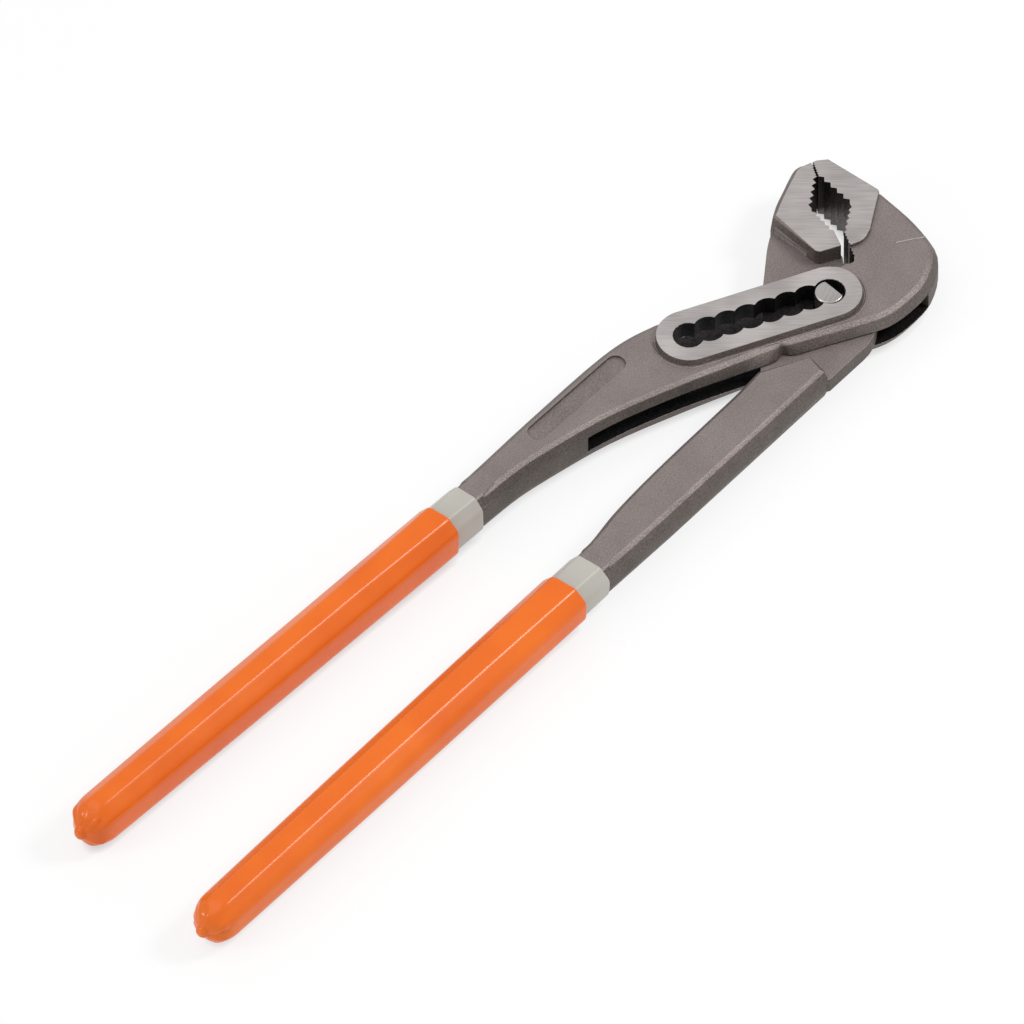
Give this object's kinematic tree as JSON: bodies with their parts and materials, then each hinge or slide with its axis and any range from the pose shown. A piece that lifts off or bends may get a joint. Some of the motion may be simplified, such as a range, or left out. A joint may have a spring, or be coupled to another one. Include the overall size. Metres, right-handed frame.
{
  "type": "water pump pliers",
  "caption": "Water pump pliers with a toothed jaw mouth, a box joint whose pin steps along a scalloped slot to change the opening, and dipped grips on bowed handles.",
  "frame": {"origin": "middle of the closed tool's outline, on the table it lies on", "axes": "+X along the tool towards the jaws, +Y across the handles towards the outer handle, +Z along the pivot, up from the table"},
  "size_m": [0.3002, 0.0574, 0.0161],
  "materials": {
    "outer_lever": "blasted forging with ground boss and jaw faces",
    "inner_lever": "blasted forging with ground jaw faces",
    "pivot_pin": "turned and hardened steel",
    "undercoat": "satin dipped coat",
    "sleeve": "glossy dipped coat"
  },
  "bodies": {
    "outer_half": {"outer_lever": "outer_lever", "outer_grip_undercoat": "undercoat", "outer_grip_sleeve": "sleeve"},
    "pin": {"pivot_pin": "pivot_pin"},
    "inner_half": {"inner_lever": "inner_lever", "inner_grip_undercoat": "undercoat", "inner_grip_sleeve": "sleeve"}
  },
  "joints": [
    {"name": "slot_slide", "type": "slide", "parent": "outer_half", "child": "pin", "axis": [-0.8854, 0.4648, 0], "range_m": [0, 0.0336]},
    {"name": "jaw_pivot", "type": "hinge", "parent": "pin", "child": "inner_half", "pos_m": [0.11385, -0.01089, 0.00805], "axis": [0, 0, 1], "range_deg": [0, 60]}
  ]
}
